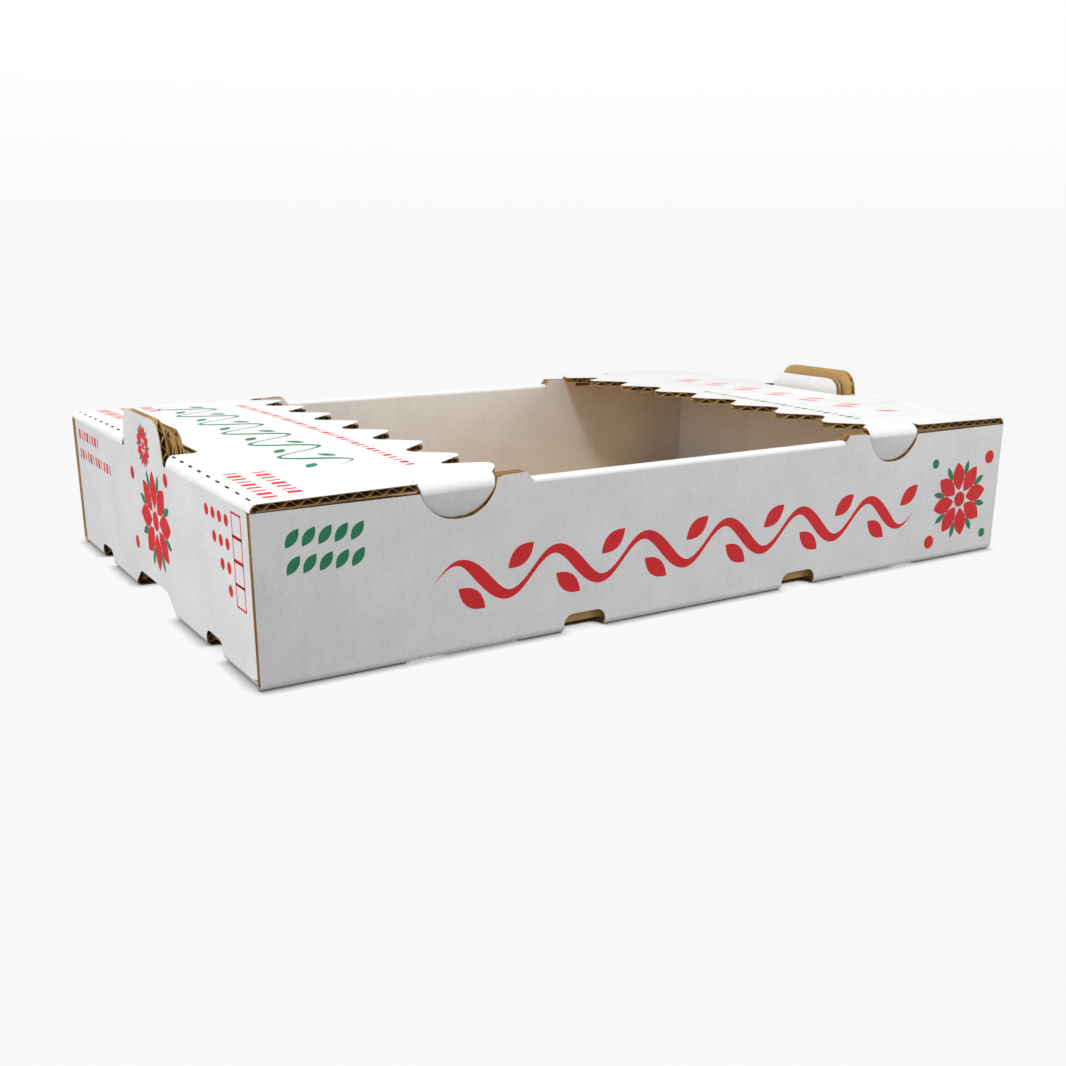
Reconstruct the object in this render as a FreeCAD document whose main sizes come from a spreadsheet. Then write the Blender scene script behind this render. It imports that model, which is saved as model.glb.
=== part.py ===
import FreeCAD, Part
import math
import os
import re
import Sketcher

# A die-cut corrugated tray for fruit. Floor, ends, ledges folded over the ends, double
# side walls and lining flaps are one folded sheet, so the tray is one solid.
# Millimetres. +X runs along the length, +Z up, the origin is under the middle of the floor.
# The tray looks the same after half a turn about Z, so most shapes are made once.

SIZES = {
    "length": 400.0,
    "width": 267.0,
    "board": 3.0,
    "ply_gap": 0.3,
    "fold_radius": 2.4,
    "wall_height": 65.2,
    "ledge_rise": 2.8,
    "ledge_reach": 106.7,
    "scallop_depth": 21.0,
    "scallop_count": 8,
    "scallop_radius": 5.3,
    "scallop_end_hollow": 11.3,
    "scallop_end_crest": 13.9,
    "scallop_end_radius": 3.0,
    "roll_half": 86.0,
    "roll_height": 66.5,
    "roll_radius": 2.0,
    "shoulder_height": 69.3,
    "shoulder_end": 100.5,
    "lock_centre": 118.7,
    "lock_half": 17.0,
    "lock_bottom": 54.2,
    "lock_bend": 7.0,
    "lock_recess": 1.4,
    "lock_clearance": 0.5,
    "jog_start": 128.0,
    "jog_end": 140.0,
    "corner_flap": 58.0,
    "over_flap": 50.0,
    "under_flap": 62.0,
    "tab_height": 83.2,
    "tab_step": 2.2,
    "tab_foot": 30.5,
    "tab_head": 27.0,
    "tab_corner": 9.0,
    "hole_depth": 14.5,
    "hole_half": 34.0,
    "hole_corner": 4.0,
    "perforation_count": 24,
    "perforation_length": 4.5,
    "perforation_width": 1.2,
    "socket_foot": 31.0,
    "socket_head": 20.5,
    "socket_height": 9.8,
    "socket_corner": 4.0,
    "socket_depth": 12.5,
    "vent_width": 20.5,
    "vent_height": 7.8,
    "vent_corner": 4.5,
    "end_vent_inset": 51.0,
    "side_vent": 60.5,
    "slot_start": 92.0,
    "slot_end": 142.0,
    "foot_start": 94.0,
    "foot_end": 126.0,
}

# Faces of the board layers, from the outside of the tray inwards, as formulas.
SIDE_INNER = "(width/2 - board)"
FLAP_OUTER = "(width/2 - board - ply_gap)"
FLAP_INNER = "(width/2 - 2*board - ply_gap)"
LINING_OUTER = "(width/2 - 2*board - 2*ply_gap)"
LINING_INNER = "(width/2 - 3*board - 2*ply_gap)"
END_INNER = "(length/2 - board)"
UNDER_OUTER = "(length/2 - board - ply_gap)"
UNDER_INNER = "(length/2 - 2*board - ply_gap)"
OVER_OUTER = "(length/2 - 2*board - 2*ply_gap)"
OVER_INNER = "(length/2 - 3*board - 2*ply_gap)"
LEDGE_BOTTOM = "(wall_height + ply_gap)"
LEDGE_TOP = "(wall_height + ply_gap + board)"
LINING_FOOT = "(board + ply_gap)"

# Pitches and places that follow the width of the tray, as formulas.
SCALLOP_PITCH = "(width/scallop_count)"
PERFORATION_PITCH = "(width/(perforation_count + 0.5))"
END_VENT = "(width/2 - end_vent_inset)"

document = FreeCAD.newDocument("fruit_tray")
sheet = document.addObject("Spreadsheet::Sheet", "sizes")
for row, (alias, value) in enumerate(SIZES.items(), start=1):
    sheet.set(f"A{row}", alias)
    sheet.set(f"B{row}", str(value))
    sheet.setAlias(f"B{row}", alias)
document.recompute()


def bound(formula):
    """A formula in plain size names, written so that it reads the sheet."""
    def with_sheet(match):
        word = match.group(0)
        return f"sizes.{word}" if word in SIZES else word
    return re.sub(r"[a-z_]+", with_sheet, str(formula))


def number(formula):
    return float(sheet.evalExpression(bound(formula)))


def new_body(name):
    body = document.addObject("PartDesign::Body", name)
    body.Label = name
    body.AllowCompound = True
    return body


def new_sketch(body, plane, offset="0"):
    """A sketch on one of the body's own origin planes, moved along its normal."""
    sketch = body.newObject("Sketcher::SketchObject", f"{body.Name}_outline")
    role = f"{plane}_Plane"
    support = next(item for item in body.Origin.OriginFeatures if item.Role == role)
    sketch.AttachmentSupport = (support, [""])
    sketch.MapMode = "FlatFace"
    sketch.setExpression("AttachmentOffset.Base.z", bound(offset))
    return sketch


def hold_point(sketch, item, end, x, y):
    for kind, formula in (("DistanceX", x), ("DistanceY", y)):
        rule = Sketcher.Constraint(kind, -1, 1, item, end, number(formula))
        index = sketch.addConstraint(rule)
        sketch.setExpression(f"Constraints[{index}]", bound(formula))


def corner_arc(before, corner, after, radius):
    """Start, middle and end of the arc that rounds one corner of an outline."""
    back = (before - corner).normalize()
    ahead = (after - corner).normalize()
    half = back.getAngle(ahead) / 2
    middle = (back + ahead).normalize()
    run = radius / math.tan(half)
    nearest = radius / math.sin(half) - radius
    return corner + back * run, corner + middle * nearest, corner + ahead * run


def draw_outline(sketch, corners):
    """Close a run of straight lines; a third value in a corner rounds it."""
    points = [FreeCAD.Vector(number(corner[0]), number(corner[1]), 0) for corner in corners]
    arcs = []
    for index, corner in enumerate(corners):
        after = points[(index + 1) % len(points)]
        if len(corner) == 2:
            arcs.append((points[index], None, points[index]))
        else:
            arcs.append(corner_arc(points[index - 1], points[index], after, number(corner[2])))
    lines = []
    for index in range(len(points)):
        following = arcs[(index + 1) % len(points)]
        segment = Part.LineSegment(arcs[index][2], following[0])
        lines.append(sketch.addGeometry(segment, False))
    for index, corner in enumerate(corners):
        before, after = lines[index - 1], lines[index]
        if len(corner) == 2:
            sketch.addConstraint(Sketcher.Constraint("Coincident", before, 2, after, 1))
            hold_point(sketch, after, 1, corner[0], corner[1])
        else:
            round_corner(sketch, before, after, arcs[index], points[index], corner)


def round_corner(sketch, before, after, arc, point, corner):
    item = sketch.addGeometry(Part.Arc(*arc), False)
    mark = sketch.addGeometry(Part.Point(point), True)
    flipped = (sketch.getPoint(item, 1) - arc[0]).Length > 0.001
    first, last = (2, 1) if flipped else (1, 2)
    sketch.addConstraint(Sketcher.Constraint("Tangent", before, 2, item, first))
    sketch.addConstraint(Sketcher.Constraint("Tangent", item, last, after, 1))
    index = sketch.addConstraint(Sketcher.Constraint("Radius", item, number(corner[2])))
    sketch.setExpression(f"Constraints[{index}]", bound(corner[2]))
    sketch.addConstraint(Sketcher.Constraint("PointOnObject", mark, 1, before))
    sketch.addConstraint(Sketcher.Constraint("PointOnObject", mark, 1, after))
    hold_point(sketch, mark, 1, corner[0], corner[1])


def mirrored(corners, axis):
    """The same outline on the other side of one axis of the sketch."""
    flipped = []
    for corner in corners:
        values = list(corner)
        values[axis] = f"-({values[axis]})"
        flipped.append(tuple(values))
    return flipped


def box(low_x, high_x, low_y, high_y):
    return [(low_x, low_y), (high_x, low_y), (high_x, high_y), (low_x, high_y)]


def pad(body, plane, outlines, depth, offset="0", centred=False, kind="Pad"):
    """Pad or pocket some outlines; the tip of the body becomes the new feature."""
    sketch = new_sketch(body, plane, offset)
    for outline in outlines:
        draw_outline(sketch, outline)
    feature = body.newObject(f"PartDesign::{kind}", f"{body.Name}_{kind.lower()}")
    feature.Profile = sketch
    feature.setExpression("Length", bound(depth))
    feature.SideType = "Symmetric" if centred else "One side"
    body.Tip = feature
    document.recompute()
    return feature


def combine(kind, name, parts):
    """A fuse, common or cut of named parts, in the document's own boolean objects."""
    result = document.addObject(f"Part::{kind}", name)
    result.Label = name
    if kind in ("Cut", "Common"):
        result.Base, result.Tool = parts
    else:
        result.Shapes = parts
    result.Refine = True
    return result


def turned_copy(source, name):
    """The same shape after half a turn about the middle of the tray."""
    link = document.addObject("App::Link", name)
    link.LinkedObject = source
    link.Label = name
    link.Placement = FreeCAD.Placement(FreeCAD.Vector(), FreeCAD.Rotation(180, 0, 0))
    return link


# Floor and both outer side walls: one U section along the whole length, with the raw
# ends of the walls showing at the corners of the tray.
def make_shell():
    body = new_body("shell")
    section = [
        ("-width/2", "0", "fold_radius"), ("width/2", "0", "fold_radius"),
        ("width/2", "wall_height"), (SIDE_INNER, "wall_height"),
        (SIDE_INNER, "board"), (f"-{SIDE_INNER}", "board"),
        (f"-{SIDE_INNER}", "wall_height"), ("-width/2", "wall_height"),
    ]
    pad(body, "YZ", [section], "length", centred=True)
    spandrel = [
        ("length/2 - 2*fold_radius", "-1"), ("length/2 + 1", "-1"),
        ("length/2 + 1", "2*fold_radius"), ("length/2", "2*fold_radius"),
        ("length/2", "0", "fold_radius"), ("length/2 - 2*fold_radius", "0"),
    ]
    pad(body, "XZ", [spandrel, mirrored(spandrel, 0)], f"2*{FLAP_OUTER}",
        centred=True, kind="Pocket")
    notch = lock_outline("0", "wall_height + 9")
    pad(body, "XZ", [notch, mirrored(notch, 0)], "2*width", centred=True, kind="Pocket")
    return body


def lock_outline(clearance, top):
    """The half-round outline of the side locks, smaller by the clearance."""
    half = f"(lock_half - {clearance})"
    bottom = f"(lock_bottom + {clearance})"
    return [
        (f"lock_centre - {half}", top), (f"lock_centre - {half}", bottom, f"{half} - 1"),
        (f"lock_centre + {half}", bottom, f"{half} - 1"), (f"lock_centre + {half}", top),
    ]


# End panel: it stands between the side walls, and its middle runs on upwards as the
# outermost layer of the stacking tab.
def make_end_panel():
    body = new_body("end_panel")
    half = f"({FLAP_INNER} - board)"
    top = f"({LEDGE_TOP} - fold_radius)"
    outline = [
        (f"-{half}", "board - ply_gap"), (half, "board - ply_gap"),
        (half, top), ("tab_foot", top),
        ("tab_head", "tab_height", "tab_corner"), ("-tab_head", "tab_height", "tab_corner"),
        ("-tab_foot", top), (f"-{half}", top),
    ]
    pad(body, "YZ", [outline], "board", offset=END_INNER)
    return body


# Corner flaps: they turn in from the upright edges of the end panel and lie between
# the outer side wall and its lining.
def make_corner_flaps():
    body = new_body("corner_flaps")
    root = f"({FLAP_INNER} - 2*board)"
    outline = [
        ("length/2", root), ("length/2", FLAP_OUTER, "fold_radius"),
        ("length/2 - corner_flap", FLAP_OUTER), ("length/2 - corner_flap", FLAP_INNER),
        (END_INNER, FLAP_INNER), (END_INNER, root),
    ]
    pad(body, "XY", [outline, mirrored(outline, 1)], f"wall_height - {LINING_FOOT}",
        offset=LINING_FOOT)
    return body


# Ledge: folded in over the end, it climbs slightly inwards. Its free edge is scalloped,
# with the crests of one ledge offset from those of the other.
def scalloped_edge():
    crest = "(length/2 - ledge_reach)"
    hollow = f"({crest} + scallop_depth)"
    corners = [(f"{hollow} - 3", "scallop_end_hollow - width/2", "scallop_end_radius")]
    for step in range(-6, 8):
        place = hollow if step % 2 else crest
        corners.append((place, f"{SCALLOP_PITCH}*({step}/2 - 0.25)", "scallop_radius"))
    corners.append((f"{crest} + 1.5", "width/2 - scallop_end_crest", "scallop_end_radius"))
    return corners


def make_ledge():
    sheet_body = new_body("ledge_sheet")
    tip = "(length/2 - ledge_reach)"
    profile = [
        ("length/2", LEDGE_BOTTOM), ("length/2", LEDGE_TOP, "fold_radius"),
        (tip, f"{LEDGE_TOP} + ledge_rise"), (tip, f"{LEDGE_BOTTOM} + ledge_rise"),
    ]
    pad(sheet_body, "XZ", [profile], "width", centred=True)
    plan_body = new_body("ledge_plan")
    lock_side = "(width/2 - lock_recess - lock_bend)"
    lock_near = "(lock_centre - lock_half + 2*lock_clearance)"
    lock_far = "(lock_centre + lock_half)"
    outline = [
        ("length/2 + 1", "width/2"), (lock_far, "width/2"), (lock_far, lock_side),
        (lock_near, lock_side),
    ]
    outline += list(reversed(scalloped_edge()))
    outline += [
        (lock_near, f"-{lock_side}"), (lock_far, f"-{lock_side}"), (lock_far, "-width/2"),
        ("length/2 + 1", "-width/2"), ("length/2 + 1", "-hole_half"),
        ("length/2 - hole_depth", "-hole_half", "hole_corner"),
        ("length/2 - hole_depth", "hole_half", "hole_corner"), ("length/2 + 1", "hole_half"),
    ]
    pad(plan_body, "XY", [outline], "wall_height")
    plan_body.setExpression("Placement.Base.z", bound("wall_height/2"))
    blank = combine("Common", "ledge_blank", (sheet_body, plan_body))
    return combine("Cut", "ledge", (blank, make_perforation()))


# Perforation: short slits along the fold between the end panel and the ledge.
def make_perforation():
    body = new_body("perforation")
    start = f"(-{PERFORATION_PITCH}*(perforation_count - 1)/2)"
    slit = box(
        "length/2 - board/2", "length/2 - board/2 + perforation_width",
        f"{start} - perforation_length/2", f"{start} + perforation_length/2")
    first = pad(body, "XY", [slit], "3*board", offset="wall_height - board")
    pattern = body.newObject("PartDesign::LinearPattern", "perforation_row")
    axis = next(item for item in body.Origin.OriginFeatures if item.Role == "Y_Axis")
    pattern.Originals = [first]
    pattern.Direction = (axis, [""])
    pattern.setExpression("Length", bound(f"{PERFORATION_PITCH}*(perforation_count - 1)"))
    pattern.setExpression("Occurrences", bound("perforation_count"))
    body.Tip = pattern
    return body


# Side locks: half-round tabs of the ledge, bent down into the notches of the side walls.
def make_lock_tabs():
    sheet_body = new_body("lock_sheet")
    face = "(width/2 - lock_recess)"
    root = "(width/2 - lock_recess - lock_bend - board)"
    rise = "(ledge_rise*(length/2 - lock_centre)/ledge_reach)"
    top = f"({LEDGE_TOP} + {rise})"
    low = "(lock_bottom - board)"
    section = [
        (root, top), (face, top, "lock_bend"), (face, low), (f"{face} - board", low),
        (f"{face} - board", f"{top} - board", "lock_bend - board"), (root, f"{top} - board"),
    ]
    pad(sheet_body, "YZ", [section, mirrored(section, 0)], "2*lock_half + 4", centred=True)
    plan_body = new_body("lock_plan")
    outline = lock_outline("lock_clearance", "tab_height")
    shifted = [(f"{corner[0]} - lock_centre",) + corner[1:] for corner in outline]
    pad(plan_body, "XZ", [shifted], "2*width", centred=True)
    tabs = combine("Common", "lock_tabs", (sheet_body, plan_body))
    slope = "atan(ledge_rise/ledge_reach)"
    tabs.Placement = FreeCAD.Placement(FreeCAD.Vector(), FreeCAD.Rotation(
        FreeCAD.Vector(0, 1, 0), 1))
    tabs.setExpression("Placement.Rotation.Angle", bound(slope))
    tabs.setExpression("Placement.Base.x", bound(f"lock_centre - {top}*sin({slope})"))
    tabs.setExpression("Placement.Base.z", bound(f"{top}*(1 - cos({slope}))"))
    return tabs


# Roll: between the ledges the side wall turns over its own top into the lining.
def make_roll():
    body = new_body("roll")
    section = [
        ("-width/2", "wall_height - board"), ("-width/2", "roll_height", "roll_radius"),
        (f"-{FLAP_INNER}", "roll_height", "roll_radius"),
        (f"-{FLAP_INNER}", "wall_height - board"), (f"-{FLAP_OUTER}", "wall_height - board"),
        (f"-{FLAP_OUTER}", "roll_height - board"), (f"-{SIDE_INNER}", "roll_height - board"),
        (f"-{SIDE_INNER}", "wall_height - board"),
    ]
    pad(body, "YZ", [section], "2*roll_half", centred=True)
    return body


# Shoulders: past each end of the roll both layers stand a little higher, with raw tops.
def make_shoulders():
    body = new_body("shoulders")
    outline = [
        ("roll_half - 2", "wall_height - board"), ("roll_half - 2", "roll_height - 1"),
        ("roll_half + 2", "shoulder_height"), ("shoulder_end - 1", "shoulder_height"),
        ("shoulder_end", "wall_height - board"),
    ]
    pair = [outline, mirrored(outline, 0)]
    pad(body, "XZ", pair, "board", offset=SIDE_INNER)
    pad(body, "XZ", pair, "board", offset=FLAP_INNER)
    return body


# Lining: it comes down inside the side wall, steps in past the corner flaps and turns
# along both ends. One end flap lies on top of the other half's flap, one beneath it.
def make_lining():
    body = new_body("lining")
    outline = [
        (f"-{UNDER_OUTER}", "under_flap"), (f"-{UNDER_OUTER}", f"-{LINING_OUTER}", "fold_radius"),
        ("-jog_end", f"-{LINING_OUTER}"), ("-jog_start", f"-{FLAP_OUTER}"),
        ("jog_start", f"-{FLAP_OUTER}"), ("jog_end", f"-{LINING_OUTER}"),
        (OVER_OUTER, f"-{LINING_OUTER}", "fold_radius"), (OVER_OUTER, "over_flap"),
        (OVER_INNER, "over_flap"), (OVER_INNER, f"-{LINING_INNER}"),
        ("jog_end", f"-{LINING_INNER}"), ("jog_start", f"-{FLAP_INNER}"),
        ("-jog_start", f"-{FLAP_INNER}"), ("-jog_end", f"-{LINING_INNER}"),
        (f"-{UNDER_INNER}", f"-{LINING_INNER}"), (f"-{UNDER_INNER}", "under_flap"),
    ]
    pad(body, "XY", [outline], f"wall_height - {LINING_FOOT}", offset=LINING_FOOT)
    foot = box("foot_start", "foot_end", f"-{FLAP_OUTER}", f"-{FLAP_INNER}")
    pad(body, "XY", [foot, mirrored(foot, 0)], "2*board", offset="ply_gap")
    notch = lock_outline("0", "wall_height + 9")
    pad(body, "XZ", [notch, mirrored(notch, 0)], "width + 20", centred=True, kind="Pocket")
    return body


# Inner layers of the stacking tab, each a little lower than the one outside it.
def make_tab_layer(name, steps, outer_face):
    body = new_body(name)
    top = f"(tab_height - {steps}*tab_step)"
    outline = [
        ("-tab_foot", "wall_height - board"), ("tab_foot", "wall_height - board"),
        ("tab_head", top, "tab_corner"), ("-tab_head", top, "tab_corner"),
    ]
    pad(body, "YZ", [outline], "board", offset=f"{outer_face} - board")
    return body


# Vents and lock slots: each is cut across a bottom fold, partly from the wall and
# partly from the floor. The linings behind them are whole.
def vent_outline(middle, low, high):
    return [
        (f"{middle} - vent_width/2", low), (f"{middle} + vent_width/2", low),
        (f"{middle} + vent_width/2", high, "vent_corner"),
        (f"{middle} - vent_width/2", high, "vent_corner"),
    ]


def make_vents():
    body = new_body("vents")
    front = vent_outline("side_vent", "-1", "vent_height")
    pad(body, "XZ", [front, mirrored(front, 0)], "board + 2", offset=SIDE_INNER)
    end = vent_outline(END_VENT, "-1", "vent_height")
    pad(body, "YZ", [end, mirrored(end, 0)], "board + 2", offset=END_INNER)
    front_floor = vent_outline("side_vent", "-width/2 - 1", "-width/2 + vent_height")
    end_across = vent_outline(END_VENT, "length/2 + 1", "length/2 - vent_height")
    end_floor = [(corner[1], corner[0]) + corner[2:] for corner in end_across]
    slot = box("slot_start", "slot_end", f"-{SIDE_INNER}", f"-({FLAP_INNER} - ply_gap)")
    floor_cuts = [front_floor, mirrored(front_floor, 0), end_floor, mirrored(end_floor, 1),
                  slot, mirrored(slot, 0)]
    pad(body, "XY", floor_cuts, "board + 1", offset="-1")
    return body


# Socket: the opening under each end that takes the stacking tab of the tray below.
def make_socket():
    body = new_body("socket")
    outline = [
        ("-socket_foot", "-0.1"), ("socket_foot", "-0.1"),
        ("socket_head", "socket_height", "socket_corner"),
        ("-socket_head", "socket_height", "socket_corner"),
    ]
    pad(body, "YZ", [outline], "socket_depth + 1", offset="length/2 - socket_depth")
    return body


def build_tray():
    end_panel = make_end_panel()
    vents = make_vents()
    skin_blank = combine("MultiFuse", "skin_blank", [
        make_shell(), end_panel, turned_copy(end_panel, "far_end_panel")])
    skin_cuts = combine("MultiFuse", "skin_cuts", [vents, turned_copy(vents, "far_vents")])
    skin = combine("Cut", "skin", (skin_blank, skin_cuts))
    half = combine("MultiFuse", "half", [
        make_corner_flaps(), make_ledge(), make_lock_tabs(), make_roll(), make_shoulders(),
        make_lining(), make_tab_layer("under_tab", 1, UNDER_OUTER),
        make_tab_layer("over_tab", 2, OVER_OUTER)])
    socket = make_socket()
    sockets = combine("MultiFuse", "sockets", [socket, turned_copy(socket, "far_socket")])
    folded = combine("MultiFuse", "folded", [skin, half, turned_copy(half, "far_half")])
    return combine("Cut", "tray", (folded, sockets))


def check_document(parts):
    document.recompute()
    for item in document.Objects:
        if "Invalid" in item.State or "Error" in item.State:
            raise RuntimeError(f"{item.Name} did not build: {item.State}")
    for part in parts:
        if part.Shape.isNull() or not part.Shape.isValid():
            raise RuntimeError(f"{part.Name} has no sound shape")
        if len(part.Shape.Solids) != 1:
            raise RuntimeError(f"{part.Name} has {len(part.Shape.Solids)} solids")


tray = build_tray()
check_document([tray])
os.makedirs("parts", exist_ok=True)
tray.Shape.exportStep(os.path.join("parts", "tray.step"))
bounds = tray.Shape.BoundBox
print("tray", round(bounds.XLength, 2), round(bounds.YLength, 2), round(bounds.ZLength, 2),
      "volume", round(tray.Shape.Volume))
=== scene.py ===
import math

import bmesh
import bpy
from mathutils import Matrix, Vector


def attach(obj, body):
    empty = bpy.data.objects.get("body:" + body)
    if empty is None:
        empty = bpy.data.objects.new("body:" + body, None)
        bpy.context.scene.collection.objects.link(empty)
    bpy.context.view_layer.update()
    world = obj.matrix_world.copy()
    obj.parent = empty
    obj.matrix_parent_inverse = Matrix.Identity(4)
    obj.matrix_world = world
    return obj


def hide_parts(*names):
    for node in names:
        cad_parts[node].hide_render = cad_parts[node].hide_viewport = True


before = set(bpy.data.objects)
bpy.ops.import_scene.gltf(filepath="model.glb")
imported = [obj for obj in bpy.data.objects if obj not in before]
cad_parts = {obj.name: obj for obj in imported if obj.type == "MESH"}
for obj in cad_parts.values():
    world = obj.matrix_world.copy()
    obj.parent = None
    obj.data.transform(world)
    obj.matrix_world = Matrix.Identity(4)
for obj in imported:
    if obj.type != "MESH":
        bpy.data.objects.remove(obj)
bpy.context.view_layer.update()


# Floor and end panels: B-flute board, white liner outside and brown liner inside, one
# sheet that turns up at both ends. The middle of each end runs on as the stacking tab,
# and flaps turn in at its four upright edges. Panel drawings are flat and in millimetres:
# across the flutes, along them, and up through the board from its brown face.
BOARD = 3.0
LINER = 0.32
PRINT_FACE = BOARD - 0.03
FLUTE_PITCH = 6.5
FLUTE_STEPS = 12
FLUTE_SHEET = 0.24
FLUTE_SLACK = 0.18
STOCK_MARGIN = 4
DEGREES_PER_MM = 90 / BOARD


def paper(name, colour, mottle, roughness, fibre, washboard):
    """Paper with soft mottling, fine fibres and the faint ridges of the flutes behind; the ridges
    are a bump and are also painted into the colour as painted shade, darker in their hollows.
    """
    material = bpy.data.materials.new(name)
    material.use_nodes = True
    nodes, links = material.node_tree.nodes, material.node_tree.links
    shader = nodes["Principled BSDF"]
    shader.inputs["Roughness"].default_value = roughness
    shader.inputs["Specular IOR Level"].default_value = 0.3
    drawing = nodes.new("ShaderNodeAttribute")
    drawing.attribute_name = "drawing"
    clouds = nodes.new("ShaderNodeTexNoise")
    clouds.inputs["Scale"].default_value = 0.045
    clouds.inputs["Detail"].default_value = 5.0
    links.new(drawing.outputs["Vector"], clouds.inputs["Vector"])
    stretched = nodes.new("ShaderNodeMapping")
    stretched.inputs["Scale"].default_value = (1.6, 0.35, 1.6)
    links.new(drawing.outputs["Vector"], stretched.inputs["Vector"])
    fibres = nodes.new("ShaderNodeTexNoise")
    fibres.inputs["Scale"].default_value = 1.0
    fibres.inputs["Detail"].default_value = 6.0
    fibres.inputs["Roughness"].default_value = 0.7
    links.new(stretched.outputs["Vector"], fibres.inputs["Vector"])
    across = nodes.new("ShaderNodeSeparateXYZ")
    links.new(drawing.outputs["Vector"], across.inputs["Vector"])
    turns = nodes.new("ShaderNodeMath")
    turns.operation = "MULTIPLY"
    turns.inputs[1].default_value = 2 * math.pi / FLUTE_PITCH
    links.new(across.outputs["X"], turns.inputs[0])
    ridge = nodes.new("ShaderNodeMath")
    ridge.operation = "SINE"
    links.new(turns.outputs["Value"], ridge.inputs[0])
    # Painted shade: the flute ridge wave also darkens and lightens the paper's colour, darker in
    # the hollows and lighter on the crests. The fibre grain added beside it is the paper's own
    # tone, and the same sum is the bump's height.
    shades = nodes.new("ShaderNodeMath")
    shades.operation = "MULTIPLY_ADD"
    shades.inputs[1].default_value = washboard
    links.new(ridge.outputs["Value"], shades.inputs[0])
    links.new(fibres.outputs["Fac"], shades.inputs[2])
    tone = nodes.new("ShaderNodeMath")
    tone.operation = "MULTIPLY_ADD"
    tone.inputs[1].default_value = 0.6
    links.new(clouds.outputs["Fac"], tone.inputs[0])
    links.new(shades.outputs["Value"], tone.inputs[2])
    blend = nodes.new("ShaderNodeValToRGB")
    blend.color_ramp.elements[0].position = 0.45
    blend.color_ramp.elements[0].color = (*[channel * (1 - mottle) for channel in colour], 1)
    blend.color_ramp.elements[1].position = 1.0
    blend.color_ramp.elements[1].color = (*[channel * (1 + mottle) for channel in colour], 1)
    links.new(tone.outputs["Value"], blend.inputs["Fac"])
    links.new(blend.outputs["Color"], shader.inputs["Base Color"])
    relief = nodes.new("ShaderNodeBump")
    relief.inputs["Distance"].default_value = fibre
    relief.inputs["Strength"].default_value = 0.6
    links.new(shades.outputs["Value"], relief.inputs["Height"])
    links.new(relief.outputs["Normal"], shader.inputs["Normal"])
    return material


white_liner = paper("white_liner", (0.78, 0.78, 0.78), 0.10, 0.5, 0.00004, 0.02)
brown_liner = paper("brown_liner", (0.50, 0.31, 0.118), 0.16, 0.8, 0.00006, 0.05)
flute_paper = paper("flute_paper", (0.30, 0.185, 0.075), 0.85, 0.85, 0.00006, 0.0)
BOARD_PAPERS = [white_liner, brown_liner, flute_paper]
WHITE, BROWN, FLUTES = 0, 1, 2


def add_outline(mesh, corners):
    """A flat face; a third value in a corner is how much of it is rounded off."""
    points = [mesh.verts.new((corner[0], corner[1], 0)) for corner in corners]
    mesh.faces.new(points)
    for cut in sorted({corner[2] for corner in corners if len(corner) == 3}):
        rounded = [point for point, corner in zip(points, corners)
                   if len(corner) == 3 and corner[2] == cut]
        bmesh.ops.bevel(mesh, geom=rounded, offset=cut, offset_type="OFFSET",
                        affect="VERTICES", segments=6, profile=0.5, material=-1)


def raise_faces(mesh, low, high):
    """Turn flat faces into closed plates between two levels."""
    bmesh.ops.translate(mesh, verts=mesh.verts[:], vec=(0, 0, low))
    raised = bmesh.ops.extrude_face_region(mesh, geom=mesh.faces[:])
    moved = [item for item in raised["geom"] if isinstance(item, bmesh.types.BMVert)]
    bmesh.ops.translate(mesh, verts=moved, vec=(0, 0, high - low))
    bmesh.ops.recalc_face_normals(mesh, faces=mesh.faces)


def plates(outlines, low, high):
    mesh = bmesh.new()
    for corners in outlines:
        add_outline(mesh, corners)
    raise_faces(mesh, low, high)
    for face in mesh.faces:
        face.material_index = FLUTES
    return mesh


def held_object(name, mesh, materials=BOARD_PAPERS):
    data = bpy.data.meshes.new(name)
    mesh.to_mesh(data)
    mesh.free()
    for material in materials:
        data.materials.append(material)
    held = bpy.data.objects.new(name, data)
    bpy.context.scene.collection.objects.link(held)
    return held


def shaped_by(base, tool, operation):
    """What is left of one closed shape after another cuts it or limits it."""
    change = base.modifiers.new("shaping", "BOOLEAN")
    change.operation = operation
    change.solver = "EXACT"
    change.object = tool
    graph = bpy.context.evaluated_depsgraph_get()
    result = bpy.data.meshes.new_from_object(base.evaluated_get(graph))
    mesh = bmesh.new()
    mesh.from_mesh(result)
    for spent in (base, tool):
        bpy.data.objects.remove(spent)
    bpy.data.meshes.remove(result)
    return mesh


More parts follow.
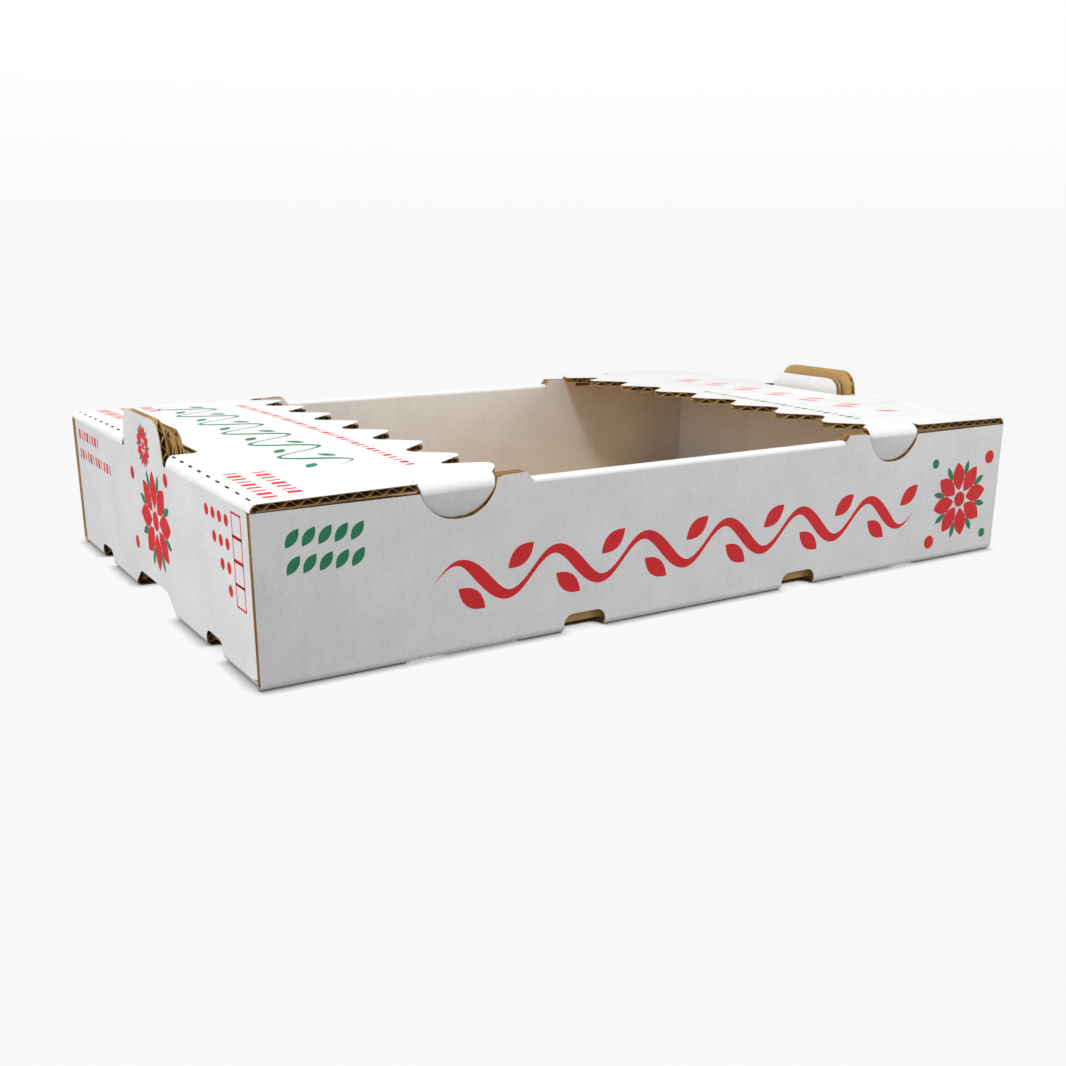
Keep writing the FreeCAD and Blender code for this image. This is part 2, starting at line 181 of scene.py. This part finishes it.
def cut_board(outline, holes):
    """A flat board: two liners and the waved paper between them, cut to an outline."""
    low = [min(corner[axis] for corner in outline) - STOCK_MARGIN for axis in (0, 1)]
    high = [max(corner[axis] for corner in outline) + STOCK_MARGIN for axis in (0, 1)]
    stock = bmesh.new()
    count = int((high[0] - low[0]) / FLUTE_PITCH * FLUTE_STEPS)
    bmesh.ops.create_grid(stock, x_segments=count, y_segments=1, size=0.5)
    wave_height = BOARD / 2 - LINER - FLUTE_SLACK
    for point in stock.verts:
        point.co.x = low[0] + (point.co.x + 0.5) * (high[0] - low[0])
        point.co.y = low[1] + (point.co.y + 0.5) * (high[1] - low[1])
        wave = math.sin(point.co.x * 2 * math.pi / FLUTE_PITCH)
        point.co.z = BOARD / 2 - FLUTE_SHEET / 2 + wave_height * wave
    bmesh.ops.solidify(stock, geom=stock.faces[:], thickness=-FLUTE_SHEET)
    for face in stock.faces:
        face.material_index = FLUTES
    for level in (0, PRINT_FACE - LINER):
        made = bmesh.ops.create_cube(stock, size=1.0)
        bmesh.ops.scale(stock, verts=made["verts"],
                        vec=(high[0] - low[0], high[1] - low[1], LINER))
        bmesh.ops.translate(stock, verts=made["verts"], vec=(
            (low[0] + high[0]) / 2, (low[1] + high[1]) / 2, level + LINER / 2))
        for face in {face for point in made["verts"] for face in point.link_faces}:
            top = face.calc_center_median().z > PRINT_FACE - 0.001
            face.material_index = WHITE if top else BROWN
    bmesh.ops.recalc_face_normals(stock, faces=stock.faces)
    cutter = held_object("cutter", plates([outline], -1, BOARD + 1))
    if holes:
        punch = held_object("punch", plates(holes, -2, BOARD + 2))
        cutter = held_object("cutter", shaped_by(cutter, punch, "DIFFERENCE"))
    return shaped_by(held_object("stock", stock), cutter, "INTERSECT")


def slice_board(mesh, first=(), second=()):
    """Cut edge loops where the board will bend, across its first or second direction."""
    for places, normal in ((first, (1, 0, 0)), (second, (0, 1, 0))):
        for place in places:
            bmesh.ops.bisect_plane(
                mesh, geom=mesh.verts[:] + mesh.edges[:] + mesh.faces[:], dist=1e-5,
                plane_co=[place * axis for axis in normal], plane_no=normal)


def fold_board(mesh, place):
    """Move a flat board to its place in the tray and keep its flat drawing for the paper."""
    drawing = mesh.verts.layers.float_vector.new("drawing")
    for point in mesh.verts:
        point[drawing] = point.co.copy()
        point.co = Vector(place(*point.co)) * 0.001
    bmesh.ops.recalc_face_normals(mesh, faces=mesh.faces)


HALF_TURN = Matrix.Rotation(math.pi, 3, "Z")


def add_turned_copy(mesh):
    """The other half of the tray is the same half turned about its middle."""
    copy = bmesh.ops.duplicate(mesh, geom=mesh.verts[:] + mesh.edges[:] + mesh.faces[:])
    points = [item for item in copy["geom"] if isinstance(item, bmesh.types.BMVert)]
    bmesh.ops.rotate(mesh, verts=points, cent=(0, 0, 0), matrix=HALF_TURN)


def finish_board(name, mesh):
    piece = held_object(name, mesh)
    for face in piece.data.polygons:
        face.use_smooth = True
    piece.data.set_sharp_from_angle(angle=math.radians(32))
    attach(piece, "root")
    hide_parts("tray")


END = 200.0
END_FACE = END - BOARD
CORNER_FOLD = 127.2


def place_end(along, across, level):
    """Floor in the middle, then the bottom fold, then the upright end panel."""
    side = 1 if along >= 0 else -1
    run = abs(along)
    turn = math.radians(DEGREES_PER_MM * min(max(run - END_FACE, 0), BOARD))
    x = min(run, END_FACE) + level * math.sin(turn)
    z = BOARD - level * math.cos(turn) + max(run - END, 0)
    y = across
    beyond = abs(across) - CORNER_FOLD
    if run > END + 0.2 and beyond > 0:
        turn = math.radians(DEGREES_PER_MM * min(beyond, BOARD))
        x = END_FACE + level * math.cos(turn) - max(beyond - BOARD, 0)
        y = math.copysign(CORNER_FOLD + level * math.sin(turn), across)
    return side * x, y, z


end_half = [
    (50.2, -130.2), (50.2, -125.7, 4.2), (70.8, -125.7, 4.2), (70.8, -130.2),
    (92, -130.2), (92, -126.9), (142, -126.9), (142, -130.2),
    (200, -130.2), (200, -127.2), (200.4, -127.2), (200.4, -182), (262.2, -182),
    (262.2, -127.2), (262.6, -127.2), (262.6, -30.8), (280.2, -27, 7.4), (280.2, 27, 7.4),
    (262.6, 30.8), (262.6, 127.2), (262.2, 127.2), (262.2, 182), (200.4, 182), (200.4, 127.2),
    (200, 127.2), (200, 130.2), (142, 130.2), (142, 126.9), (92, 126.9), (92, 130.2),
    (70.8, 130.2), (70.8, 125.7, 4.2), (50.2, 125.7, 4.2), (50.2, 130.2),
]
end_outline = end_half + [(-corner[0], -corner[1], *corner[2:]) for corner in end_half]
end_holes = []
for side in (-1, 1):
    for middle in (-82.5, 82.5):
        end_holes.append([
            (side * 192.2, middle - 10.2, 4.4), (side * 204.8, middle - 10.2, 4.4),
            (side * 204.8, middle + 10.2, 4.4), (side * 192.2, middle + 10.2, 4.4)])
    end_holes.append([
        (side * 187.5, -30, 3), (side * 199, -31), (side * 206.8, -20.5, 1.6),
        (side * 206.8, 20.5, 1.6), (side * 199, 31), (side * 187.5, 30, 3)])
floor_board = cut_board(end_outline, end_holes)
folds = [END_FACE + step * 0.5 for step in range(7)]
slice_board(floor_board, folds + [-fold for fold in folds],
            [side * (CORNER_FOLD + step * 0.6) for side in (-1, 1) for step in range(6)])
fold_board(floor_board, place_end)
finish_board("floor_and_ends", floor_board)


# Side walls: the same sheet turned up along both long edges of the floor. Their ends
# are left raw at the corners, the top is notched for the ledge locks, and the lower
# edge is cut with a toothed knife where the lining is pushed through the floor.
SIDE_FACE = 130.5
ROLL_FOOT = 64.5
LOCK_CENTRE = 118.7
LOCK_LINE = 70.2
NOTCH_RADIUS = 16


def place_side(along, up, level):
    turn = math.radians(DEGREES_PER_MM * min(max(up, 0), BOARD))
    y = SIDE_FACE + min(up, 0) + level * math.sin(turn)
    z = BOARD - level * math.cos(turn) + max(up - BOARD, 0)
    return along, -y, z


def notch_edge(outer_top, inner_top):
    """The half-round notch for a ledge lock, from the box's corner towards its middle."""
    points = []
    for step in range(33):
        angle = math.pi * step / 32
        height = LOCK_LINE - NOTCH_RADIUS * math.sin(angle)
        if height < (outer_top if step < 16 else inner_top) - 0.2:
            along = (LOCK_CENTRE + math.copysign(1, math.cos(angle))
                     + NOTCH_RADIUS * math.cos(angle))
            points.append((along, height))
    outer = LOCK_CENTRE + 1 + math.sqrt(NOTCH_RADIUS ** 2 - (LOCK_LINE - outer_top) ** 2)
    inner = LOCK_CENTRE - 1 - math.sqrt(NOTCH_RADIUS ** 2 - (LOCK_LINE - inner_top) ** 2)
    return [(outer, outer_top), *points, (inner, inner_top)]


def toothed_edge(first, last, low, high):
    count = 23
    width = (last - first) / count
    points = []
    for step in range(count):
        points += [(first + step * width, low), (first + (step + 0.5) * width, high)]
    return points + [(last, low)]


def mirrored(half):
    return [(-corner[0], *corner[1:]) for corner in reversed(half)]


def side_half(corner_top):
    """Half of a side wall from the floor up; the fold of each ledge rests on its corner."""
    return [
        (50.2, -0.3), (50.2, 7.8, 4.4), (70.8, 7.8, 4.4), (70.8, -0.3), (92, -0.3),
        *toothed_edge(92, 142, 1.9, 1.3), (142, -0.3), (200, -0.3), (200, corner_top),
        *notch_edge(corner_top, 68.2), (99, 68.9), (88.6, 69.3), (84.8, ROLL_FOOT),
    ]


side_board = cut_board(side_half(66.3) + mirrored(side_half(65.2)), [])
slice_board(side_board, (), [step * 0.5 for step in range(7)])
fold_board(side_board, place_side)
add_turned_copy(side_board)
finish_board("side_walls", side_board)


# Rolls: between the ledges the side wall is creased twice and turned over its own top,
# so the white liner runs on down the inside. The crushed creases leave round edges.
def place_roll(along, over, level):
    crease = 3.1
    flat = 2.3
    reach = 0.15 + 1.85 * level / BOARD
    first = math.radians(90 * min(over, crease) / crease)
    last = math.radians(90 * max(over - crease - flat, 0) / crease)
    y = SIDE_FACE + 1.0 + reach * math.cos(first)
    z = ROLL_FOOT + reach * math.sin(first)
    if over > crease:
        y = SIDE_FACE + 1.0 - min(over - crease, flat) - reach * math.sin(last)
        z = ROLL_FOOT + reach * math.cos(last)
    return along, -y, z


roll_board = cut_board([(-86.6, 0), (86.6, 0), (86.6, 8.5), (-86.6, 8.5)], [])
slice_board(roll_board, (), [step * 0.5 for step in range(18)])
fold_board(roll_board, place_roll)
add_turned_copy(roll_board)
finish_board("rolls", roll_board)


# Linings: the inner layer of each side wall, white towards the fruit. It steps in past
# the flaps of the end panels, and feet on its lower edge stand in the floor's slots.
STEP_START = 128
STEP_LENGTH = 44


def place_lining(along, up, level):
    share = min(max((abs(along) - STEP_START) / STEP_LENGTH, 0), 1)
    step_in = 3.3 * share * share * (3 - 2 * share)
    return along, -(130.2 - step_in - level), up


def lining_half(end):
    return [
        (94, 3.3), (94, 0.4), (126, 0.4), (126, 3.3), (end, 3.3), (end, 64.4), (109, 64.4),
        (109, 66.8), (101.4, 66.8), (101.2, 69.3), (88.6, 69.3), (84.8, ROLL_FOOT),
    ]


lining_board = cut_board(lining_half(190.3) + mirrored(lining_half(193.6)), [])
slice_board(lining_board,
            [side * (STEP_START + 4 * step) for side in (-1, 1) for step in range(12)])
fold_board(lining_board, place_lining)
add_turned_copy(lining_board)
finish_board("linings", lining_board)


# End flaps: the linings turn again along both ends and lap over each other there. The
# middle of each rises with the end panel as a further layer of the stacking tab.
def flap_outline(far, near, top):
    return [
        (far, 3.3), (-28, 3.3), (-20.5, 9.8, 1.6), (20.5, 9.8, 1.6), (28, 3.3), (near, 3.3),
        (near, 65.2), (30.8, 65.2), (27, top, 7.4), (-23.4, top, 6.4), (-24.8, 65.2),
        (far, 65.2),
    ]


def join_into(mesh, other):
    """Add a second mesh to the first as further loose parts."""
    carried = bpy.data.meshes.new("carried")
    other.to_mesh(carried)
    other.free()
    mesh.from_mesh(carried)
    bpy.data.meshes.remove(carried)


under_board = cut_board(flap_outline(-62, 126.9, 78.8), [])
fold_board(under_board, lambda along, up, level: (196.7 - level, along, up))
over_board = cut_board(flap_outline(-126.9, 50, 78.8), [])
fold_board(over_board, lambda along, up, level: (193.4 - level, along, up))
join_into(under_board, over_board)
add_turned_copy(under_board)
finish_board("end_flaps", under_board)


# Ledges: the tops of the end panels, folded in over the fruit. A row of slits weakens
# the fold, the free edge is scalloped, and two half-round locks are bent down into the
# side walls. The folded board bows up between its held corners.
SLOPE_END = 106.7
LOCK_ROOT = 128.2
LOCK_RADIUS = 5.0
LOCK_TURN = 5.5
LOCK_END = 15.5
LOCK_SPAN = (64.5, 100.5)
LEDGE_FOLD = 65.5
HALF_WIDTH = 133.5
SCALLOP_PITCH = 33.375


def ledge_place(corner_lift, bow, climb):
    """Where the points of one ledge lie, given how far it bows and climbs inwards."""
    def place(along, across, level):
        held = abs(across) > LOCK_ROOT and LOCK_SPAN[0] < along < LOCK_SPAN[1]
        line = math.copysign(LOCK_ROOT, across) if held else across
        lift = corner_lift + bow * (1 - (line / HALF_WIDTH) ** 2)
        fold = min(along / BOARD, 1)
        turn = math.radians(90) * fold
        run = max(along - BOARD, 0)
        x = END_FACE + level * math.cos(turn) - run
        z = LEDGE_FOLD + lift * fold + level * math.sin(turn) + climb * run
        if not held:
            return x, across, z
        top = LEDGE_FOLD + lift + BOARD + climb * run
        bend = math.radians(90 * min((abs(across) - LOCK_ROOT) / LOCK_TURN, 1))
        down = max(abs(across) - LOCK_ROOT - LOCK_TURN, 0)
        reach = LOCK_RADIUS - BOARD + level
        y = LOCK_ROOT + reach * math.sin(bend) - 0.18 * down
        return x, math.copysign(y, across), top - LOCK_RADIUS + reach * math.cos(bend) - down
    return place


def lock_edge(side, top):
    """The half-round end of a lock, as it is cut before its root is bent."""
    points = []
    for step in range(25):
        angle = math.pi * step / 24
        height = LOCK_LINE - LOCK_END * math.sin(angle)
        if height > top - 0.05:
            continue
        if height > top - LOCK_RADIUS:
            out = LOCK_TURN * math.acos((height - top) / LOCK_RADIUS + 1) / math.radians(90)
        else:
            out = LOCK_TURN + top - LOCK_RADIUS - height
        offset = math.copysign(1, math.cos(angle)) + LOCK_END * math.cos(angle)
        points.append((END - LOCK_CENTRE - offset, side * (LOCK_ROOT + out)))
    return [(64.8, side * LOCK_ROOT), *points, (98.2, side * LOCK_ROOT)]


def ledge_outline(top):
    scallops = [(88.7, -122.2, 3)]
    for step in range(-6, 7):
        reach = SLOPE_END - (21 if step % 2 else 0)
        scallops.append((reach, SCALLOP_PITCH * (step / 2 - 0.25), 6.6))
    scallops += [(86.2, 105.5, 5.2), (106.6, 112, 3.0), (105.6, 118.5, 2.4), (99.4, 127.4)]
    return [
        (0, -HALF_WIDTH), (64.3, -HALF_WIDTH), (64.3, -LOCK_ROOT), *lock_edge(-1, top), *scallops,
        *reversed(lock_edge(1, top)), (64.3, LOCK_ROOT), (64.3, HALF_WIDTH), (0, HALF_WIDTH),
        (0, 34), (14.5, 34, 4), (14.5, -34, 4), (0, -34),
    ]


SLIT_COUNT = 24
SLIT_PITCH = 10.898

slits = []
for step in range(SLIT_COUNT):
    middle = SLIT_PITCH * (step - (SLIT_COUNT - 1) / 2)
    if abs(middle) > 36:
        slits.append([(2.5, middle - 2.3, 0.3), (3.2, middle - 2.3, 0.3),
                      (3.2, middle + 2.3, 0.3), (2.5, middle + 2.3, 0.3)])


ledge_lines = [13.35 * step for step in range(-9, 10)]


def make_ledge(name, place, top, turned):
    board = cut_board(ledge_outline(top), slits)
    bends = [side * (LOCK_ROOT + 0.55 * step) for side in (-1, 1) for step in range(11)]
    slice_board(board, [0.75 * step for step in range(5)], ledge_lines + bends)
    fold_board(board, place)
    if turned:
        bmesh.ops.rotate(board, verts=board.verts[:], cent=(0, 0, 0), matrix=HALF_TURN)
    finish_board(name, board)


place_right_ledge = ledge_place(1.2, 1.2, 0.018)
place_left_ledge = ledge_place(0.0, 2.1, 0.012)
make_ledge("right_ledge", place_right_ledge, 71.2, False)
make_ledge("left_ledge", place_left_ledge, 69.7, True)


# Printing: red and green inks laid on the white liner before the sheet is folded: vines
# with leaves, rosettes, bars and dots, and four boxes to tick on each end panel. The two
# sides and the two ends carry the same print, half a turn apart.
red_ink = paper("red_ink", (0.70, 0.022, 0.028), 0.10, 0.5, 0.00003, 0.06)
green_ink = paper("green_ink", (0.025, 0.215, 0.105), 0.12, 0.5, 0.00003, 0.06)
INKS = [white_liner, red_ink, green_ink]
RED, GREEN = 1, 2
BAR_PITCH = 5.3
BAR_WIDTHS = (1.5, 3.3, 2.2)


def add_disc(film, x, y, radius):
    bmesh.ops.create_circle(film, cap_ends=True, segments=32, radius=radius,
                            matrix=Matrix.Translation((x, y, 0)))


def add_leaf(film, x, y, length, width, turn):
    """A pointed leaf from its root at x, y."""
    made = bmesh.ops.create_circle(film, cap_ends=True, segments=18, radius=1.0)
    for point in made["verts"]:
        point.co.y *= width / 2 * abs(point.co.y)
        point.co.x = (point.co.x + 1) * length / 2
    bmesh.ops.rotate(film, verts=made["verts"],
                     matrix=Matrix.Rotation(math.radians(turn), 3, "Z"))
    bmesh.ops.translate(film, verts=made["verts"], vec=(x, y, 0))


def add_bar(film, x, y, length, height):
    made = bmesh.ops.create_grid(film, x_segments=1, y_segments=1, size=0.5)
    bmesh.ops.scale(film, verts=made["verts"], vec=(length, height, 1))
    bmesh.ops.translate(film, verts=made["verts"], vec=(x, y, 0))


def add_bars(film, x, y, height, count):
    """A row of thin and thick bars along the second direction."""
    for step in range(count):
        add_bar(film, x, y + BAR_PITCH * step, height, BAR_WIDTHS[step % 3])


def add_vine(film, start, end, reach, waves, thick, leaf):
    """A flowing line, thick on its way down, with a leaf in the hollow of every wave."""
    made = bmesh.ops.create_grid(film, x_segments=waves * 24, y_segments=1, size=0.5)
    run = Vector(end) - Vector(start)
    side = Vector((-run.y, run.x)).normalized()
    for point in made["verts"]:
        share = point.co.x + 0.5
        phase = 2 * math.pi * waves * share
        slope = reach * 2 * math.pi * waves / run.length * math.cos(phase)
        stroke = thick * (0.33 + 0.67 * (1 - math.cos(phase)) / 2) / 2
        stroke *= min(1, 14 * share, 14 * (1 - share))
        normal = (side - run.normalized() * slope).normalized()
        middle = Vector(start) + run * share + side * reach * math.sin(phase)
        spot = middle + normal * math.copysign(stroke, point.co.y)
        point.co = (spot.x, spot.y, 0)
    heading = math.degrees(math.atan2(run.y, run.x))
    for step in range(2 * waves):
        hollow = 1 if step % 2 else -1
        root = Vector(start) + run * (step + 0.5) / (2 * waves) + side * hollow * reach * 0.33
        add_leaf(film, root.x, root.y, 2 * leaf, leaf, heading + hollow * 38)


def add_rosette(petals, leaves, x, y, radius, turn):
    """Eight broad petals around a dot, with a slim leaf showing between each two."""
    for step in range(8):
        angle = math.radians(turn + 45 * step)
        add_leaf(petals, x + 0.24 * radius * math.cos(angle), y + 0.24 * radius * math.sin(angle),
                 0.76 * radius, 0.46 * radius, turn + 45 * step)
        angle += math.radians(22.5)
        add_leaf(leaves, x + 0.62 * radius * math.cos(angle), y + 0.62 * radius * math.sin(angle),
                 0.42 * radius, 0.16 * radius, turn + 45 * step + 22.5)
    add_disc(petals, x, y, 0.2 * radius)


def finish_print(name, red, green, place, slices, turns):
    """Raise both inks to their thickness, lay them on their panel and colour them."""
    whole = bmesh.new()
    for film, ink, thickness in ((red, RED, 0.022), (green, GREEN, 0.03)):
        slice_board(film, (), slices)
        raise_faces(film, PRINT_FACE - 0.02, PRINT_FACE + thickness)
        for face in film.faces:
            face.material_index = ink
        join_into(whole, film)
    fold_board(whole, place)
    if turns == "both":
        add_turned_copy(whole)
    elif turns == "far":
        bmesh.ops.rotate(whole, verts=whole.verts[:], cent=(0, 0, 0), matrix=HALF_TURN)
    piece = held_object(name, whole, INKS)
    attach(piece, "root")
    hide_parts("tray")


red, green = bmesh.new(), bmesh.new()
add_vine(red, (-131, 29), (138, 29), 7.8, 6, 5.6, 7.5)
for height in (51.6, 41.8):
    for step in range(5):
        add_leaf(green, -188 + 6.2 * step, height, 8.4, 4.0, 52)
add_rosette(red, green, 171, 30, 19.5, 10)
for x, z in ((150.5, 10), (191.5, 50)):
    add_disc(red, x, z, 3.4)
for x, z in ((150.5, 50), (191.5, 10)):
    add_disc(green, x, z, 2.4)
finish_print("side_print", red, green, place_side, (), "both")

red, green = bmesh.new(), bmesh.new()
add_rosette(red, green, -236, -12, 22, 0)
add_rosette(red, green, -267, -2, 9.5, 22.5)
for z, y in ((20, 22), (52, 20), (57, -32)):
    add_disc(red, -200 - z, y, 3.0)
add_bars(red, -256, 82, 4.8, 8)
add_bars(red, -246, 62, 4.8, 12)
for row, z in enumerate((55.2, 46.3, 37.3, 28.6)):
    for step in range(4 - row):
        add_disc(red, -200 - z, -107.5 + 7.5 * step, 2.3)
    for edge in (-4.2, 4.2):
        add_bar(red, -200 - z + edge, -118.6, 0.8, 10.2)
        add_bar(red, -200 - z, -118.6 + 1.125 * edge, 9.2, 0.8)
finish_print("end_print", red, green, place_end, (), "both")

red, green = bmesh.new(), bmesh.new()
add_vine(green, (50, -119), (50, 88), 12, 6, 3.2, 4.6)
add_bars(red, 77.5, -101, 3.6, 39)
for u, first, count in ((10.5, 83, 9), (21, 85, 8), (14, -129, 9), (25, -129, 8), (35, -127, 5)):
    add_bars(red, u, first, 5.4, count)
finish_print("left_ledge_print", red, green, place_left_ledge, ledge_lines, "far")
red, green = bmesh.new(), bmesh.new()
for step in range(13):
    add_leaf(red, 46, -88 + 13.5 * step, 13, 3.6, 55 if step % 2 else 215)
add_bars(green, 78.5, -106, 4.0, 23)
finish_print("right_ledge_print", red, green, place_right_ledge, ledge_lines, "near")


# Floor and lamps: a pale sweep that glows evenly for the camera, darkened near the tray by
# ambient occlusion as a painted contact shadow, under a broad overhead lamp, with softer light
# from the left and the front.
stand = bmesh.new()
bmesh.ops.create_grid(stand, x_segments=2, y_segments=2, size=3.0)
stand_data = bpy.data.meshes.new("stand")
stand.to_mesh(stand_data)
stand.free()
stand_floor = bpy.data.objects.new("stand", stand_data)
bpy.context.scene.collection.objects.link(stand_floor)
pale = bpy.data.materials.new("pale_floor")
pale.use_nodes = True
nodes, links = pale.node_tree.nodes, pale.node_tree.links
nodes["Principled BSDF"].inputs["Base Color"].default_value = (0.2, 0.2, 0.2, 1)
nodes["Principled BSDF"].inputs["Roughness"].default_value = 0.9
glow = nodes.new("ShaderNodeEmission")
seen = nodes.new("ShaderNodeLightPath")
# Painted shadow: ambient occlusion darkens the floor's camera glow into a thin contact line under
# the tray's edges.
painted_contact_shade = nodes.new("ShaderNodeAmbientOcclusion")
painted_contact_shade.samples = 8
painted_contact_shade.inputs["Distance"].default_value = 0.005
links.new(painted_contact_shade.outputs["Color"], glow.inputs["Color"])
share = nodes.new("ShaderNodeMath")
share.operation = "MULTIPLY"
share.inputs[1].default_value = 0.92
links.new(seen.outputs["Is Camera Ray"], share.inputs[0])
mixed = nodes.new("ShaderNodeMixShader")
links.new(share.outputs["Value"], mixed.inputs["Fac"])
links.new(nodes["Principled BSDF"].outputs["BSDF"], mixed.inputs[1])
links.new(glow.outputs["Emission"], mixed.inputs[2])
links.new(mixed.outputs["Shader"], nodes["Material Output"].inputs["Surface"])
stand_data.materials.append(pale)

world = bpy.data.worlds.new("studio")
bpy.context.scene.world = world
world.use_nodes = True
nodes, links = world.node_tree.nodes, world.node_tree.links
nodes["Background"].inputs["Color"].default_value = (1, 1, 1, 1)
nodes["Background"].inputs["Strength"].default_value = 0.50
backdrop = nodes.new("ShaderNodeBackground")
rise = nodes.new("ShaderNodeTexCoord")
height = nodes.new("ShaderNodeSeparateXYZ")
links.new(rise.outputs["Generated"], height.inputs["Vector"])
fade = nodes.new("ShaderNodeMapRange")
fade.inputs["From Max"].default_value = 0.12
fade.inputs["To Min"].default_value = 0.935
fade.inputs["To Max"].default_value = 1.0
links.new(height.outputs["Z"], fade.inputs["Value"])
links.new(fade.outputs["Result"], backdrop.inputs["Color"])
seen = nodes.new("ShaderNodeLightPath")
mixed = nodes.new("ShaderNodeMixShader")
links.new(seen.outputs["Is Camera Ray"], mixed.inputs["Fac"])
links.new(nodes["Background"].outputs["Background"], mixed.inputs[1])
links.new(backdrop.outputs["Background"], mixed.inputs[2])
links.new(mixed.outputs["Shader"], nodes["World Output"].inputs["Surface"])


def add_lamp(name, place, aim, size, power):
    data = bpy.data.lights.new(name, "AREA")
    data.shape = "DISK"
    data.size = size
    data.energy = power
    lamp = bpy.data.objects.new(name, data)
    lamp.location = place
    lamp.rotation_euler = (Vector(aim) - Vector(place)).to_track_quat("-Z", "Y").to_euler()
    bpy.context.scene.collection.objects.link(lamp)


add_lamp("overhead", (-1.5, -0.45, 2.9), (0, 0, 0.05), 0.7, 90)
add_lamp("left_side", (-1.6, -0.1, 0.5), (0, 0, 0.04), 0.9, 3)
add_lamp("right_front", (0.75, -0.75, 0.3), (0.1, 0, 0.04), 0.5, 2.8)


# Camera: low at the left front corner, aimed a little right of the middle. Its focal
# length and its centre are in pixels of a square picture.
PICTURE = 1066
FOCAL_PIXELS = 1211.292
CENTRE_X, CENTRE_Y = 568.540, 601.541
SENSOR = 36
CAMERA_AIM = Vector((0.020162, 0, -0.034845))
CAMERA_DISTANCE = 0.665005
CAMERA_TURN = math.radians(-33.6871)
CAMERA_RISE = math.radians(16.7313)
CAMERA_ROLL = math.radians(0.5034)
back = Vector((math.sin(CAMERA_TURN) * math.cos(CAMERA_RISE),
               -math.cos(CAMERA_TURN) * math.cos(CAMERA_RISE), math.sin(CAMERA_RISE)))
right = (-back).cross(Vector((0, 0, 1))).normalized()
up = right.cross(-back)
rolled_right = math.cos(CAMERA_ROLL) * right + math.sin(CAMERA_ROLL) * up
rolled_up = -math.sin(CAMERA_ROLL) * right + math.cos(CAMERA_ROLL) * up
camera_data = bpy.data.cameras.new("camera")
camera_data.sensor_width = SENSOR
camera_data.lens = SENSOR * FOCAL_PIXELS / PICTURE
camera_data.shift_x = -(CENTRE_X - PICTURE / 2) / PICTURE
camera_data.shift_y = (CENTRE_Y - PICTURE / 2) / PICTURE
camera = bpy.data.objects.new("camera", camera_data)
camera.matrix_world = Matrix.Translation(CAMERA_AIM + back * CAMERA_DISTANCE) @ Matrix(
    (rolled_right, rolled_up, back)).transposed().to_4x4()
bpy.context.scene.collection.objects.link(camera)
bpy.context.scene.camera = camera
bpy.context.scene.view_settings.view_transform = "Standard"
